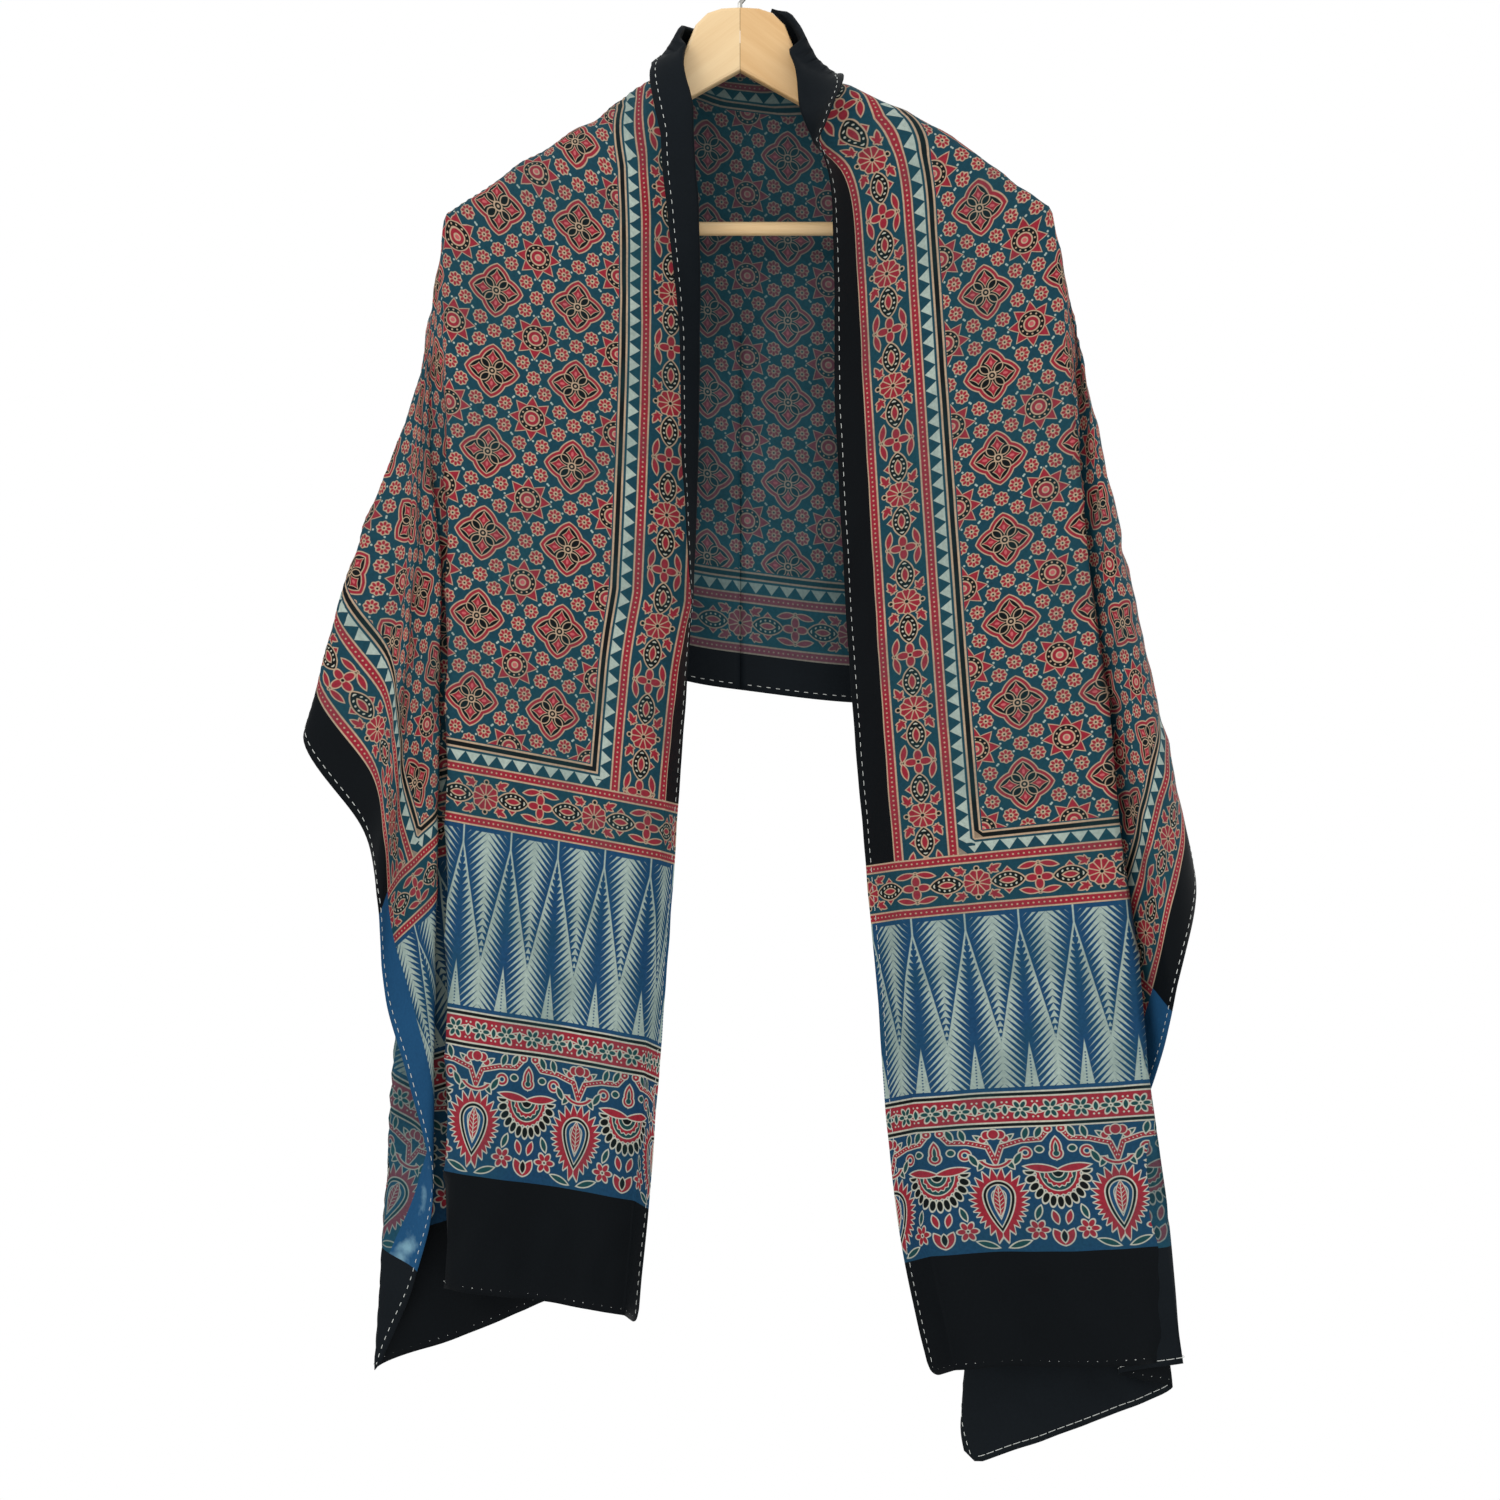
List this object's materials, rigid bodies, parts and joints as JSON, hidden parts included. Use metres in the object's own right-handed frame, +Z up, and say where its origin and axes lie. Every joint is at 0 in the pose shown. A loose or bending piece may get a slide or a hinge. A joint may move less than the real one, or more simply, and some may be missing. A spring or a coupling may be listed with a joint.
{
  "type": "block-printed stole on coat hanger",
  "caption": "Long rectangular stole with geometric, floral and paisley block print, draped over a wooden coat hanger with a trouser bar and a wire hook.",
  "frame": {"origin": "inside top of the wire hook, where a rail carries the hanger", "axes": "+Z up, +X to the right as seen from the front, -Y towards the viewer of the front"},
  "size_m": [0.6732, 0.1337, 1.1718],
  "materials": {
    "indigo_cloth": "soft modal silk with a faint sheen, block printed in indigo, madder, cream and black",
    "light_wood": "clear lacquered pale wood",
    "dark_wood": "clear lacquered wood, a little darker",
    "steel_wire": "bright plated wire"
  },
  "bodies": {
    "root": {"stole": "indigo_cloth", "hanger_left": "light_wood", "hanger_right": "dark_wood", "trouser_bar": "light_wood", "hook": "steel_wire"}
  },
  "joints": []
}
